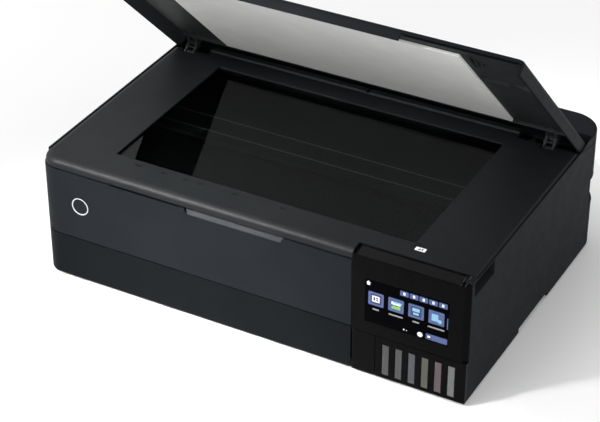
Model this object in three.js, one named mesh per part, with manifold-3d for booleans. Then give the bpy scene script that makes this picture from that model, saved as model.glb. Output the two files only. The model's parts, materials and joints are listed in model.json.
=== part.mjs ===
// Inkjet all-in-one printer with a flatbed scanner lid, a touch panel and six refillable ink tanks.
// Millimetres, +Z up, +X to the user's right, front towards -Y, origin on the floor under the middle.
import * as THREE from 'three';
import { mergeVertices } from 'three/addons/utils/BufferGeometryUtils.js';
import Module from 'manifold-3d';

const wasm = await Module();
wasm.setup();

// ---- driving dimensions -------------------------------------------------------------------
const HALF_W = 261.5;
const FRONT = -189.5;
const BACK = 180.5;
const REARMOST = 189.5;
const WALL = 2.5;
const GAP = 0.4;

const FOOT_H = 2.7;
const BASE_Z = 3;
const PAN_T = 2.5;
const SEAM_LOW = 57;
const SEAM_TOP = 141.3;
const SIDE_TOP = 150;
const TOP = 152.5;

const CORNER_FRONT = 23;
const CORNER_REAR = 37;
const PANEL_LEFT = 129;
const PANEL_BOTTOM = 54.8;

// lid: where its drawing line lies when open, its angle at rest, and its own (s forward, t up)
// measures from that line, among them the hinge pin
const LID_LINE = { y: 108.6, z: 143.4 };
const LID_OPEN = 44.9;
const LID_FRONT = 284.5;
const LID_REAR = -14;
const LID_HALF = 259.6;
const LID_TOP = 17.4;
const LID_RIM = 0.8;
const LID_GRIP = { x0: 126, x1: 250, t: 12 };
const LID_PIN = { s: 10.47, t: -4.51 };
const HINGE_PIN = { y: 98, z: 147.6 };
const HINGE_X = [-238, 225];

// scanner
const WINDOW = { x0: -185, x1: 179.8, y0: -145.6, y1: 77.3 };
const DECK_T = 2.2;
const SCANNER_REAR = 116;
const WELL_Y = 97;
const BAR = { x0: -213, x1: 187 };
const LIFT_AXIS = { y: 150, z: 146 };
const LIFT_ARM_X = [-204, 189];
const SEAM_TIP = 106;
const DECK_FRONT = 139;
const COVER_Z = 142;

// control panel
const TILT_AXIS = { y: -178, z: 147.6 };
const PANEL_PIN_X = [150, 240];
const DOOR_AXIS = { x: 132.4, y: -186.2 };
const PANEL_BACK = -173;
const PANEL_END = 251.9;
const SCREEN = { x0: 144.8, x1: 239.8, z0: 69.8, z1: 123.7 };

// ink unit
const WINDOW_FIRST = 165.3;
const WINDOW_PITCH = 15.12;
const WINDOW_W = 8.4;
const WINDOW_Z = [6.7, 46];
const TANKS = 6;

// paper path
const CASSETTE = { x0: -190, x1: 70, y0: -176, y1: 128, z0: 6.3, z1: 32 };
const FLAP_AXIS = { y: -183, z: 8 };
const FLAP_LUG_X = [-170, 50];
const TRAY = { x0: -210, x1: 90, y0: -125, y1: 20, z0: 40 };
const INLET_X = -206;
const REAR_SLOT = { x0: -185, x1: 165, y0: 143, y1: 175 };

// ---- materials ----------------------------------------------------------------------------
function material(color, roughness, metalness = 0) {
  return new THREE.MeshStandardMaterial({ color, roughness, metalness });
}
const casing = material(0x2a2c2f, 0.5);
const gloss = material(0x0f0f10, 0.12);
const inner = material(0x1b1c1e, 0.6);
const white = material(0xd9dad8, 0.6);
const steel = material(0x9a9da0, 0.35, 1);
const rubber = material(0x151515, 0.9);
const clear = material(0x1e2022, 0.05);
const green = material(0x1f5a37, 0.5);
const inks = [0x77787a, 0x6d6e70, 0x6a7180, 0x76776a, 0x7c6d73, 0x84858a].map((c) => material(c, 0.3));

// ---- shape helpers ------------------------------------------------------------------------
function solid(geometry) {
  const bare = geometry.index ? geometry.toNonIndexed() : geometry.clone();
  bare.deleteAttribute('normal');
  bare.deleteAttribute('uv');
  const merged = mergeVertices(bare, 1e-4);
  return new wasm.Manifold(new wasm.Mesh({
    numProp: 3,
    vertProperties: new Float32Array(merged.attributes.position.array),
    triVerts: new Uint32Array(merged.index.array),
  }));
}

function geometryOf(shape) {
  const mesh = shape.getMesh();
  const geometry = new THREE.BufferGeometry();
  geometry.setAttribute('position', new THREE.BufferAttribute(mesh.vertProperties, 3));
  geometry.setIndex(new THREE.BufferAttribute(mesh.triVerts, 1));
  geometry.computeVertexNormals();
  return geometry;
}

function join(...shapes) {
  return shapes.reduce((whole, next) => whole.add(next));
}

function cut(shape, ...tools) {
  return tools.reduce((left, tool) => left.subtract(tool), shape);
}

function box(x0, x1, y0, y1, z0, z1) {
  const geometry = new THREE.BoxGeometry(x1 - x0, y1 - y0, z1 - z0);
  geometry.translate((x0 + x1) / 2, (y0 + y1) / 2, (z0 + z1) / 2);
  return solid(geometry);
}

// a round bar along an axis letter, from one end to the other, centred on the two other coordinates
function rod(axis, from, to, a, b, radius, sides = 16) {
  const geometry = new THREE.CylinderGeometry(radius, radius, to - from, sides);
  const middle = (from + to) / 2;
  if (axis === 'x') {
    geometry.rotateZ(Math.PI / 2);
    geometry.translate(middle, a, b);
  } else if (axis === 'y') {
    geometry.translate(a, middle, b);
  } else {
    geometry.rotateX(Math.PI / 2);
    geometry.translate(a, b, middle);
  }
  return solid(geometry);
}

// plan outline of a rectangle with its own radius at each corner, anticlockwise from front left
function plan(x0, x1, y0, y1, radii, steps = 6) {
  const corners = [
    [x0, y0, 1, 1, Math.PI],
    [x1, y0, -1, 1, 1.5 * Math.PI],
    [x1, y1, -1, -1, 0],
    [x0, y1, 1, -1, 0.5 * Math.PI],
  ];
  const points = [];
  corners.forEach(([cx, cy, sx, sy, start], i) => {
    const r = radii[i];
    if (r === 0) {
      points.push(new THREE.Vector2(cx, cy));
      return;
    }
    for (let k = 0; k <= steps; k += 1) {
      const a = start + (k / steps) * Math.PI / 2;
      points.push(new THREE.Vector2(cx + sx * r + r * Math.cos(a), cy + sy * r + r * Math.sin(a)));
    }
  });
  return points.filter((p, i) => p.distanceTo(points[(i + 1) % points.length]) > 1e-3);
}

// straight prism of a plan outline
function prism(points, z0, z1) {
  const geometry = new THREE.ExtrudeGeometry(new THREE.Shape(points),
    { depth: z1 - z0, bevelEnabled: false });
  geometry.translate(0, 0, z0);
  return solid(geometry);
}

// prism of an outline drawn in (y, z), running along X
function bar(points, x0, x1) {
  const shape = new THREE.Shape(points.map(([y, z]) => new THREE.Vector2(y, z)));
  const geometry = new THREE.ExtrudeGeometry(shape, { depth: x1 - x0, bevelEnabled: false });
  geometry.applyMatrix4(new THREE.Matrix4().set(0, 0, 1, x0, 1, 0, 0, 0, 0, 1, 0, 0, 0, 0, 0, 1));
  return solid(geometry);
}

// skin through outlines of the same number of points, each at its own height
function loft(rings) {
  const count = rings[0].points.length;
  const position = rings.flatMap(({ points, z }) => points.flatMap((p) => [p.x, p.y, z]));
  const index = [];
  for (let ring = 0; ring + 1 < rings.length; ring += 1) {
    for (let i = 0; i < count; i += 1) {
      const a = ring * count + i;
      const b = ring * count + ((i + 1) % count);
      index.push(a, b, b + count, a, b + count, a + count);
    }
  }
  const caps = THREE.ShapeUtils.triangulateShape(rings[0].points, []);
  const last = (rings.length - 1) * count;
  caps.forEach(([a, b, c]) => index.push(a, c, b));
  caps.forEach(([a, b, c]) => index.push(a + last, b + last, c + last));
  const geometry = new THREE.BufferGeometry();
  geometry.setAttribute('position', new THREE.Float32BufferAttribute(position, 3));
  geometry.setIndex(index);
  return solid(geometry);
}

const printer = new THREE.Group();

function put(name, shape, look, group = printer) {
  const mesh = new THREE.Mesh(geometryOf(shape), look);
  mesh.name = name;
  group.add(mesh);
  return mesh;
}

// ---- base, feet and outer casings -----------------------------------------------------------
const PAN_TOP = BASE_Z + PAN_T;

function addBase() {
  const outline = plan(-257, 257, -176, 176, [20, 3, 34, 34]);
  put('base_pan', prism(outline, BASE_Z, PAN_TOP), steel);
  const feet = { foot_front_left: [-225, -155], foot_front_right: [225, -155],
    foot_rear_left: [-225, 145], foot_rear_right: [225, 145] };
  Object.entries(feet).forEach(([name, [x, y]]) => {
    put(name, rod('z', 0, FOOT_H, x, y, 10, 20), rubber);
  });
}

function addSideCasings() {
  const rearEnd = BACK - CORNER_REAR - GAP;
  const carry = (side) => box(side - 4, side + 4, -48, 30, 0, BASE_Z + 5.5);
  // the walls are thinner beside the lid, and rise to the top cover behind the scanner
  const lidRelief = (x0, x1) => box(x0, x1, 80, DECK_FRONT, 118, 160);
  const rise = (x0, x1) => bar([[SEAM_TIP, SIDE_TOP - 1], [DECK_FRONT - GAP, SIDE_TOP - 1],
    [DECK_FRONT - GAP, TOP], [124, TOP], [SEAM_TIP + 1.5, SIDE_TOP], [SEAM_TIP, SIDE_TOP]], x0, x1);
  const underCover = box(-280, 280, DECK_FRONT - GAP, 200, COVER_Z - GAP, 160);

  let left = box(-HALF_W, -HALF_W + WALL, -130, rearEnd, BASE_Z, SIDE_TOP);
  left = join(left, box(-HALF_W, -HALF_W + WALL, FRONT + CORNER_FRONT + GAP, -130, BASE_Z, SEAM_TOP - GAP));
  left = cut(join(left, rise(-HALF_W, -HALF_W + WALL)), carry(-HALF_W), lidRelief(-260.2, -255),
    underCover);
  put('left_casing', left, casing);

  // the right wall has a finger recess just under the scanner edge, behind the control panel
  const recess = { y0: -178, y1: -129, z0: 131, z1: 148.6, depth: 7.5 };
  const back = HALF_W - recess.depth;
  let right = box(HALF_W - WALL, HALF_W, -183.1, rearEnd, BASE_Z, SIDE_TOP);
  right = join(right, box(back - 1.5, HALF_W, recess.y0 - 1.5, recess.y1 + 1.5, recess.z0 - 1.5, SIDE_TOP));
  right = join(right, box(PANEL_END + GAP, HALF_W, -183.1, -171.8, 140, TOP - 0.3),
    rise(HALF_W - WALL, HALF_W));
  // the top front corner leaves room for the edge of the tilting panel
  const sweep = bar([[-184, 148.4], [-183.1, 148.4], [-182.2, 150.4], [-180.6, TOP - 0.3], [-180, 154],
    [-184, 154]],
    250, 270);
  right = cut(right, box(back, HALF_W + 2, recess.y0, recess.y1, recess.z0, recess.z1),
    carry(HALF_W), lidRelief(255, 260.2), underCover, sweep);
  put('right_casing', right, casing);
}

// outline of the rear end, from side to side round both rear corners
function rearOutline(inset, y0) {
  const r = CORNER_REAR - inset;
  return plan(-HALF_W + inset, HALF_W - inset, y0, BACK - inset, [0, 0, r, r], 8);
}

function addRear() {
  const start = BACK - CORNER_REAR;
  let shell = prism(rearOutline(0, start), BASE_Z, COVER_Z - GAP);
  shell = cut(shell, prism(rearOutline(WALL, start - 5), BASE_Z - 1, COVER_Z + 1));
  // a shallow groove runs round the right rear corner
  const groove = { z0: 62, z1: 93, depth: 6.5, x: 195 };
  const band = box(groove.x, 300, start - 1, 200, groove.z0, groove.z1);
  const recessed = prism(rearOutline(groove.depth, start), groove.z0 - 2, groove.z1 + 2);
  const recessedInner = prism(rearOutline(groove.depth + 2, start - 5), groove.z0 - 3, groove.z1 + 3);
  const keep = box(groove.x - 2, 300, start - 1, 200, groove.z0 - 2, groove.z1 + 2);
  const shelf = prism(rearOutline(0.05, start), groove.z0 - 2, groove.z1 + 2).intersect(keep);
  const backing = cut(shelf, recessedInner, band.subtract(recessed));
  shell = join(shell.subtract(keep), backing);
  // a low bulge over the paper path stands out from the back
  const bulge = bar([[BACK - 1, 56], [REARMOST - 3, 56], [REARMOST, 60], [REARMOST, 108],
    [REARMOST - 4, 114],
    [BACK - 1, 114]], -190, 105);
  const pocket = bar([[BACK - 4, 59], [REARMOST - 4, 59], [REARMOST - WALL, 62], [REARMOST - WALL, 107],
    [REARMOST - 6, 111], [BACK - 4, 111]], -187.5, 102.5);
  shell = cut(join(shell, bulge), pocket);
  // openings for the mains inlet and the ports
  shell = cut(shell, box(INLET_X - 16.4, INLET_X + 16.4, 170, 190, 19.6, 46.4),
    box(118.6, 173.4, 170, 190, 79.6, 102.4));
  put('rear_casing', shell, casing);

  // top cover behind the lid, with the rear paper slot and the brackets of the scanner lift hinge
  let cover = prism(plan(-HALF_W, HALF_W, DECK_FRONT, BACK, [0, 0, CORNER_REAR, CORNER_REAR], 8), COVER_Z,
    TOP);
  cover = cut(cover, prism(plan(-HALF_W + WALL, HALF_W - WALL, DECK_FRONT + WALL, BACK - WALL,
    [0, 0, CORNER_REAR - WALL, CORNER_REAR - WALL], 8), COVER_Z - 1, TOP - WALL));
  cover = cut(cover, box(REAR_SLOT.x0, REAR_SLOT.x1, REAR_SLOT.y0, REAR_SLOT.y1, 130, 160));
  LIFT_ARM_X.forEach((x, i) => {
    const outer = i === 0 ? -1 : 1;
    const ear = x + outer * 5;
    const ends = [ear - 1.5, ear + 1.5];
    const pin = outer < 0 ? [ear, x + 3.5] : [x - 3.5, ear];
    cover = join(cover, box(ends[0], ends[1], 145, 155, COVER_Z, TOP - 1),
      rod('x', pin[0], pin[1], LIFT_AXIS.y, LIFT_AXIS.z, 2));
  });
  put('rear_top_cover', cover, casing);

  // walls of the paper chute under the slot
  const chute = join(box(REAR_SLOT.x0, REAR_SLOT.x1, 138.6, 141.1, 72, 141.4),
    box(REAR_SLOT.x0, REAR_SLOT.x1, 167, 169.5, 72, 141.4),
    box(REAR_SLOT.x0, REAR_SLOT.x0 + 2.5, 140, 168, 72, 141.4),
    box(REAR_SLOT.x1 - 2.5, REAR_SLOT.x1, 140, 168, 72, 141.4));
  put('paper_chute', chute, inner);
}

// ---- front: upper panel with the power button, lower cover ---------------------------------
const POWER = { x: -207.6, z: 100.7, hole: 12, ring: 11.6, button: 10 };

// shell of the front, from the control panel round the left corner
function frontShell(z0, z1) {
  const right = PANEL_LEFT - GAP;
  const rear = FRONT + CORNER_FRONT;
  const outer = prism(plan(-HALF_W, right, FRONT, rear, [CORNER_FRONT, 0, 0, 0], 8), z0, z1);
  const hollow = prism(plan(-HALF_W + WALL, right + 5, FRONT + WALL, rear + 5,
    [CORNER_FRONT - WALL, 0, 0, 0], 8),
    z0 - 1, z1 + 1);
  return cut(outer, hollow);
}

function addFront() {
  const z0 = SEAM_LOW + GAP;
  let upper = frontShell(z0, SEAM_TOP - GAP);
  upper = join(upper, box(-250, 126, FRONT + 1, -176, z0, z0 + 2));
  upper = cut(upper, rod('y', FRONT - 5, FRONT + 6, POWER.x, POWER.z, POWER.hole, 28));
  // the finger chamfer in the middle of the top edge
  upper = cut(upper, bar([[FRONT - 1, 134], [FRONT, 134], [FRONT + 1.9, 142], [FRONT - 1, 142]], -72, 47));
  put('front_upper_panel', upper, casing);

  const ring = rod('y', FRONT + 0.1, FRONT + 3, POWER.x, POWER.z, POWER.ring, 28);
  put('power_ring', cut(ring, rod('y', FRONT - 3, FRONT + 6, POWER.x, POWER.z, POWER.button + 0.4, 28)),
    white);
  const button = join(rod('y', FRONT + 0.3, FRONT + 4, POWER.x, POWER.z, POWER.button, 24),
    rod('y', FRONT + 4, FRONT + 12, POWER.x, POWER.z, 4, 12));
  put('power_button', button, casing);

  let flap = frontShell(BASE_Z + 0.2, SEAM_LOW - GAP);
  FLAP_LUG_X.forEach((x) => {
    const lugs = join(box(x - 8, x - 4, FRONT + 2, -179, 5, 11), box(x + 4, x + 8, FRONT + 2, -179, 5, 11),
      rod('x', x - 5, x + 5, FLAP_AXIS.y, FLAP_AXIS.z, 1.5, 10));
    flap = join(flap, lugs);
  });
  // the wrapped end and the bottom edge are trimmed to turn clear of the parts around them and the floor
  const left = [-280, -232];
  flap = cut(flap, bar([[FLAP_AXIS.y, SEAM_LOW - GAP], [-166, 54], [-166, 60], [FLAP_AXIS.y, 60]], ...left),
    box(...left, -167.2, -160, 0, 60),
    bar([[FRONT - 1, 0], [FRONT + 1.2, 0], [FRONT + 1.2, BASE_Z + 0.2], [FRONT, BASE_Z + 1.4],
    [FRONT - 1, BASE_Z + 1.4]],
      -280, 280));
  put('front_cover', flap, casing);
}

// ---- paper cassette, output tray and their guides -------------------------------------------
function addCassette() {
  const c = CASSETTE;
  let tray = cut(box(c.x0, c.x1, c.y0, c.y1, c.z0, c.z1),
    box(c.x0 + 2.5, c.x1 - 2.5, c.y0 + 3, c.y1 - 2.5, c.z0 + 2, 60));
  FLAP_LUG_X.forEach((x) => {
    const ear = join(box(x - 3, x + 3, FLAP_AXIS.y, c.y0 + 1, 6.3, 10.4),
      rod('x', x - 3, x + 3, FLAP_AXIS.y, FLAP_AXIS.z, 2.7, 12));
    tray = join(tray, ear.subtract(rod('x', x - 5, x + 5, FLAP_AXIS.y, FLAP_AXIS.z, 1.9, 10)));
  });
  put('cassette_tray', tray, inner);

  const floor = c.z0 + 2 + GAP;
  const guide = (wall, foot) => join(box(wall, wall + 2, -90, 30, floor, 30),
    box(foot, foot + 22, -90, 30, floor, floor + 1.6));
  put('cassette_guide_left', guide(-183, -183), inner);
  put('cassette_guide_right', guide(61, 41), inner);
}

function addOutputTray() {
  const deck = 35.6;
  const rail = (x0, x1) => box(x0, x1, -168, 22, deck + 1, 47);
  const frame = join(box(-238, 124, -168, 26, deck, deck + 2), rail(TRAY.x0 - 8, TRAY.x0 - GAP - 0.2),
    rail(TRAY.x1 + GAP + 0.2, TRAY.x1 + 8), box(-238, -232, -150, 20, PAN_TOP + GAP, deck + 1),
    box(118, 124, -150, 20, PAN_TOP + GAP, deck + 1));
  put('mid_frame', frame, inner);

  const z = TRAY.z0;
  const tray = join(box(TRAY.x0, TRAY.x1, TRAY.y0, TRAY.y1, z, z + 2),
    box(TRAY.x0, TRAY.x0 + 4, TRAY.y0, TRAY.y1, z, z + 5),
    box(TRAY.x1 - 4, TRAY.x1, TRAY.y0, TRAY.y1, z, z + 5));
  put('output_tray', tray, inner);
  put('paper_stop', box(-100, -20, TRAY.y0 + 3, TRAY.y0 + 15, z + 2 + GAP, z + 4.4), inner);
}

// ---- ink unit, right front frame and card door ------------------------------------------------
function addInkUnit() {
  let fascia = join(box(157.9, HALF_W, FRONT, FRONT + WALL, BASE_Z, PANEL_BOTTOM - GAP),
    box(HALF_W - WALL, HALF_W, FRONT, -183.5, BASE_Z, PANEL_BOTTOM - GAP));
  for (let i = 0; i < TANKS; i += 1) {
    const x0 = WINDOW_FIRST + i * WINDOW_PITCH;
    fascia = cut(fascia, box(x0, x0 + WINDOW_W, FRONT - 1, FRONT + WALL + 1, WINDOW_Z[0], WINDOW_Z[1]));
    const mid = x0 + WINDOW_W / 2;
    const bodyHalf = WINDOW_PITCH / 2 - 0.5;
    const profile = [[-186.4, 6.3], [-98, 6.3], [-98, 84], [-165, 84], [-165, 50], [-186.4, 50]];
    const tank = join(bar(profile, mid - bodyHalf, mid + bodyHalf),
      box(mid - WINDOW_W / 2 + 0.4, mid + WINDOW_W / 2 - 0.4, FRONT + 0.5, -186, WINDOW_Z[0] + 0.4,
      WINDOW_Z[1] - 0.4),
      rod('z', 83, 88, mid, -130, 4.5, 12));
    put(`ink_tank_${i + 1}`, tank, inks[i]);
  }
  put('ink_fascia', fascia, gloss);

  const first = WINDOW_FIRST + WINDOW_W / 2;
  let caps = box(first - 5, first + 5 * WINDOW_PITCH + 5, -146, -142, 88.4, 91);
  for (let i = 0; i < TANKS; i += 1) {
    const x = first + i * WINDOW_PITCH;
    caps = join(caps, rod('z', 88.4, 93, x, -130, 5.6, 12), box(x - 2.5, x + 2.5, -144, -130, 88.4, 91));
  }
  put('ink_caps', caps, rubber);
  put('ink_tank_cover', join(box(157, 250, -160, -92.5, 96, 98), rod('x', 160, 247, -92, 97, 2, 10)),
    inner);

  const tubes = bar([[-97.6, 60], [-80, 60], [-72, 70], [-72, 113], [-62, 113], [-62, 115], [-74, 115],
    [-74, 71],
    [-81, 62], [-97.6, 62]], 190, 215);
  put('ink_tube_ribbon', join(tubes, box(-20, 191, -72, -62, 113, 115)), rubber);

  // frame behind the control panel, with the card slots, the door pins and the panel pins
  let frame = join(box(132, 156.6, -181.5, -140, 6.5, 50), box(132, 249, -171, -168.6, 58, 146),
    box(132, 156.6, -171, -150, 49, 60));
  frame = cut(frame, box(137, 151, -183, -165, 12, 18.5), box(141.5, 144, -183, -165, 23, 46),
    box(147, 149.5, -183, -165, 23, 46));
  // clips for the door pins, open to the front, and tongues that hold the panel pins
  frame = join(frame, box(132, 136, -186.6, -181, 11.6, 13), box(132, 136, -186.6, -181, 43, 44.4));
  frame = cut(frame, rod('z', 11, 14, DOOR_AXIS.x, DOOR_AXIS.y, 1.3, 12),
    rod('z', 42, 45, DOOR_AXIS.x, DOOR_AXIS.y, 1.3, 12));
  PANEL_PIN_X.forEach((x) => {
    const arm = bar([[TILT_AXIS.y, 145.8], [-169, 142.5], [-169, 145.2], [-172.2, 145.6], [-176.2, 147.6],
      [TILT_AXIS.y, 149.4]],
      x - 2, x + 2);
    const tongue = join(arm, rod('x', x - 2, x + 2, TILT_AXIS.y, TILT_AXIS.z, 1.9, 10));
    frame = join(frame, tongue.subtract(rod('x', x - 3, x + 3, TILT_AXIS.y, TILT_AXIS.z, 1.1, 10)));
  });
  put('right_front_frame', frame, inner);
}


function addCardDoor() {
  const pin = (z0, z1) => rod('z', z0, z1, DOOR_AXIS.x, DOOR_AXIS.y, 0.9, 10);
  const lug = (z0, z1) => box(131.4, 134, FRONT + 2, -185.1, z0, z1);
  const edge = PANEL_LEFT + 0.2;
  const chamfer = prism([new THREE.Vector2(edge - 1, FRONT - 1), new THREE.Vector2(edge + 1.6, FRONT - 1),
    new THREE.Vector2(edge + 1.6, FRONT), new THREE.Vector2(edge, FRONT + 1.6),
    new THREE.Vector2(edge - 1, FRONT + 1.6)],
  0, 60);
  const plate = box(edge, 157.3, FRONT, FRONT + WALL, BASE_Z, PANEL_BOTTOM - GAP);
  put('card_door', join(plate.subtract(chamfer), lug(8, 11), pin(10.5, 13), lug(45, 48), pin(43, 46)),
    gloss);
}

function addControlPanel() {
  const right = HALF_W - 0.1;
  const profile = [[FRONT, PANEL_BOTTOM], [PANEL_BACK, PANEL_BOTTOM], [PANEL_BACK, 151],
    [PANEL_BACK - 1.5, 152.2],
    [FRONT, 149]];
  const hollow = [[FRONT + 3.5, PANEL_BOTTOM + 2], [PANEL_BACK + 5, PANEL_BOTTOM + 2],
    [PANEL_BACK + 5, 150.8],
    [PANEL_BACK - 1.5, 150.8], [FRONT + 3.5, 147.6]];
  let shell = cut(bar(profile, PANEL_LEFT, right), bar(hollow, PANEL_LEFT + 2, right - 2));
  // at the outer end only the face stands in front of the side wall, and its edge is bevelled
  const bevel = prism([new THREE.Vector2(257.2, FRONT - 1), new THREE.Vector2(262, FRONT - 1),
    new THREE.Vector2(262, -184.5), new THREE.Vector2(261.4, -184.5)], 50, 160);
  shell = cut(shell, bevel, box(SCREEN.x0, SCREEN.x1, FRONT - 1, FRONT + 2, SCREEN.z0, SCREEN.z1),
    box(PANEL_END, 262, -183.5, -170, 50, 160));
  shell = join(shell, box(PANEL_END - 2, PANEL_END, -186.5, PANEL_BACK, PANEL_BOTTOM, 150.6));
  PANEL_PIN_X.forEach((x) => {
    const y = [TILT_AXIS.y - 2, TILT_AXIS.y + 2];
    shell = join(shell, box(x - 5, x - 2.6, y[0], y[1], 145.6, 151),
      box(x + 2.6, x + 5, y[0], y[1], 145.6, 151),
      rod('x', x - 4, x + 4, TILT_AXIS.y, TILT_AXIS.z, 0.8, 8));
  });
  put('control_panel', shell, gloss);
  put('touch_screen', box(SCREEN.x0 + GAP, SCREEN.x1 - GAP, FRONT + 0.2, FRONT + 1.7, SCREEN.z0 + GAP,
    SCREEN.z1 - GAP), clear);
}

// ---- print engine -----------------------------------------------------------------------------
const BELT = { y0: 9.6, y1: 14, z: 96, left: -236, right: 240, r: 5.4 };

function addPrintEngine() {
  let rail = join(box(-250, 250, 21, 24, 50, 112), box(-250, 250, 8, 24, 110, 112),
    box(-250, 250, 21, 34, 49, 51));
  [BELT.left, BELT.right].forEach((x) => {
    rail = cut(rail, rod('y', 18, 27, x, BELT.z, 3, 12));
  });
  put('carriage_rail', rail, steel);

  const ribs = [];
  for (let x = -225; x <= 105; x += 30) {
    ribs.push(box(x - 0.8, x + 0.8, -36, 14, 59, 61));
  }
  put('platen', join(box(-230, 110, -38, 16, 56, 59.2), ...ribs), inner);

  // the carriage straddles its belt and hangs its heads just above the platen
  const carriage = join(box(150, 226, -40, 7.4, 64.5, 108), box(158, 218, -34, 0, 62, 65),
    box(176, 200, 7, 14, 103.6, 109));
  put('print_carriage', cut(carriage, box(156, 220, -36, 3, 90, 110)), inner);

  const loop = (r) => {
    const shape = [];
    for (let k = 0; k <= 8; k += 1) {
      const a = Math.PI / 2 + (k / 8) * Math.PI;
      shape.push(new THREE.Vector2(BELT.left + r * Math.cos(a), BELT.z + r * Math.sin(a)));
    }
    for (let k = 0; k <= 8; k += 1) {
      const a = -Math.PI / 2 + (k / 8) * Math.PI;
      shape.push(new THREE.Vector2(BELT.right + r * Math.cos(a), BELT.z + r * Math.sin(a)));
    }
    return shape;
  };
  const belt = (r, y0, y1) => {
    const geometry = new THREE.ExtrudeGeometry(new THREE.Shape(loop(r)),
      { depth: y1 - y0, bevelEnabled: false });
    geometry.rotateX(Math.PI / 2);
    geometry.translate(0, y1, 0);
    return solid(geometry);
  };
  put('timing_belt', cut(belt(BELT.r + 1.6, BELT.y0, BELT.y1),
    belt(BELT.r + GAP, BELT.y0 - 2, BELT.y1 + 2)), rubber);
  const pulley = (x) => join(rod('y', BELT.y0 - 0.6, BELT.y1 + 0.6, x, BELT.z, BELT.r, 16),
    rod('y', BELT.y1, 24.4, x, BELT.z, 1.5, 10));
  put('motor_pulley', pulley(BELT.left), steel);
  put('idler_pulley', pulley(BELT.right), steel);
  put('carriage_motor', rod('y', 24.8, 52, BELT.left, BELT.z, 13, 20), steel);

  const roller = (x0, x1, y, z, r) => {
    let shape = rod('x', x0, x1, y, z, r * 0.55, 10);
    for (let x = x0 + 14; x < x1 - 30; x += 52) {
      shape = join(shape, rod('x', x, x + 26, y, z, r, 14));
    }
    return shape;
  };
  put('feed_roller', roller(-234, 118, 42, 56, 6), rubber);
  put('eject_roller', roller(-234, 118, -48, 56, 4.8), rubber);

  const station = cut(box(148, 230, -44, 10, 30, 60), box(156, 222, -36, 2, 44, 70));
  put('maintenance_station', station, inner);
  put('maintenance_box', box(150, 240, 60, 160, 8, 46), inner);
}

// ---- electrics --------------------------------------------------------------------------------
function addElectrics() {
  put('logic_board', join(box(251, 252.6, 40, 135, 54, 110), box(243, 251.5, 60, 84, 70, 94)), green);
  put('power_supply', box(-254, -196, 40, 160, 8, 46), steel);
  const inlet = box(INLET_X - 16, INLET_X + 16, 164, BACK - 0.3, 20, 46);
  put('power_inlet', cut(inlet, box(INLET_X - 12, INLET_X + 12, 166.5, 200, 25, 41)), inner);
  const ports = box(119, 173, 172, BACK - 0.5, 80, 102);
  put('port_block', cut(ports, box(126, 138, 174, 200, 85, 97), box(150, 164, 174, 200, 85, 97)), inner);
}

// ---- rear paper cover ---------------------------------------------------------------------------
function addRearFeed() {
  const s = REAR_SLOT;
  const cover = join(box(s.x0 + GAP, s.x1 - GAP, s.y0 + GAP, s.y1 - 1.6, 150.4, 152.3),
    rod('x', s.x0 + GAP, s.x1 - GAP, s.y1 - 1.8, 151, 1.2, 10));
  put('rear_feed_cover', cover, casing);
  put('paper_support', box(-130, 110, 151, 171, 147.8, 149.8), inner);
}

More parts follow.
